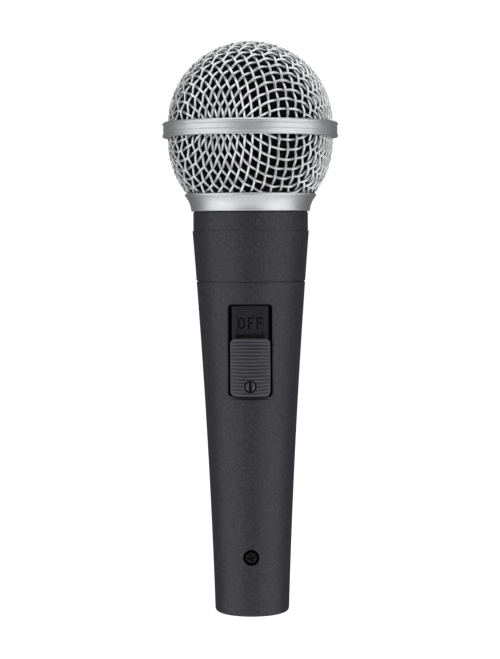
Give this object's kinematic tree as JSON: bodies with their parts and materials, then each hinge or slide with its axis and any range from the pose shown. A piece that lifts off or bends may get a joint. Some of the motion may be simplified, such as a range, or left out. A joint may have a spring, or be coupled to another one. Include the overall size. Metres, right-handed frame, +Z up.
{
  "type": "dynamic microphone",
  "caption": "Handheld dynamic vocal microphone with a woven wire ball grille, turned band and collar, tapered dark handle, ribbed slide switch and a base socket with contact pins.",
  "frame": {"origin": "centre of the base rim, on the plane the microphone stands on", "axes": "+Z up the handle to the top of the grille, -Y toward the switch side, +X to the right when the switch faces you"},
  "size_m": [0.051, 0.051, 0.1664],
  "materials": {
    "handle_coat": "charcoal powder coat, fine grain",
    "black_coat": "black enamel, fine grain",
    "satin_metal": "turned satin",
    "woven_wire": "satin plated wire",
    "foam": "open-cell black foam",
    "black_plastic": "matt moulding",
    "grey_plastic": "fine matt moulding",
    "rubber": "matt",
    "brass": "machined",
    "silver_contact": "silver plate",
    "dark_screw": "blackened",
    "grey_screw": "grey enamel",
    "steel": "zinc plated",
    "magnet": "ground nickel plate",
    "copper_wire": "enamelled copper winding",
    "film": "thin polyester film",
    "felt": "pressed felt",
    "board": "paper laminate",
    "lead_red": "insulation",
    "lead_yellow": "insulation",
    "lead_blue": "insulation"
  },
  "bodies": {
    "handle": {"handle_body": "handle_coat", "head_sleeve": "black_coat", "neck_ring": "black_coat", "shock_mount": "rubber", "cartridge_housing": "black_plastic", "magnet_cup": "steel", "magnet": "magnet", "pole_piece": "steel", "diaphragm_ring": "brass", "resonator_cap": "black_plastic", "front_screen": "felt", "felt_damper": "felt", "terminal_board": "board", "rear_chamber": "black_plastic", "chamber_seal": "rubber", "connector_insert": "black_plastic", "contact_pin_1": "silver_contact", "contact_pin_2": "silver_contact", "contact_pin_3": "silver_contact", "retaining_lug": "dark_screw", "set_screw": "dark_screw", "transformer_cradle": "black_plastic", "transformer_core": "steel", "transformer_bobbin": "black_plastic", "transformer_winding": "copper_wire", "switch_label_plate": "black_plastic", "switch_bracket": "dark_screw", "switch_case": "steel", "switch_terminal_1": "silver_contact", "switch_terminal_2": "silver_contact", "switch_terminal_3": "silver_contact", "lead_pin_1": "lead_blue", "lead_pin_2": "lead_red", "lead_pin_3": "lead_yellow", "lead_transformer_switch": "lead_red", "lead_switch_cartridge": "lead_red", "lead_return": "lead_yellow"},
    "switch": {"thumb_slider": "grey_plastic", "slider_screw": "grey_screw", "slide_carriage": "black_plastic", "contact_bridge": "brass"},
    "moving_coil": {"diaphragm": "film", "voice_coil": "copper_wire"},
    "grille_lift": {"foam_liner": "foam"},
    "grille": {"grille_collar": "satin_metal", "lower_grille_mesh": "woven_wire", "grille_band": "satin_metal", "upper_grille_mesh": "woven_wire"}
  },
  "joints": [
    {"name": "switch_slide", "type": "slide", "parent": "handle", "child": "switch", "axis": [0, -0.0639, 0.998], "range_m": [0, 0.0092]},
    {"name": "coil_travel", "type": "slide", "parent": "handle", "child": "moving_coil", "axis": [0, 0, 1], "range_m": [-0.0004, 0.0004], "stiffness_N_per_m": 150},
    {"name": "grille_rise", "type": "slide", "parent": "handle", "child": "grille_lift", "axis": [0, 0, 1], "range_m": [0, 0.005]},
    {"name": "grille_turn", "type": "hinge", "parent": "grille_lift", "child": "grille", "pos_m": [0, 0, 0.1195], "axis": [0, 0, 1], "range_deg": [0, 1441]}
  ],
  "couplings": [
    {"joint": "grille_turn", "follows": "grille_rise", "rad_per_m": 5026.5}
  ]
}
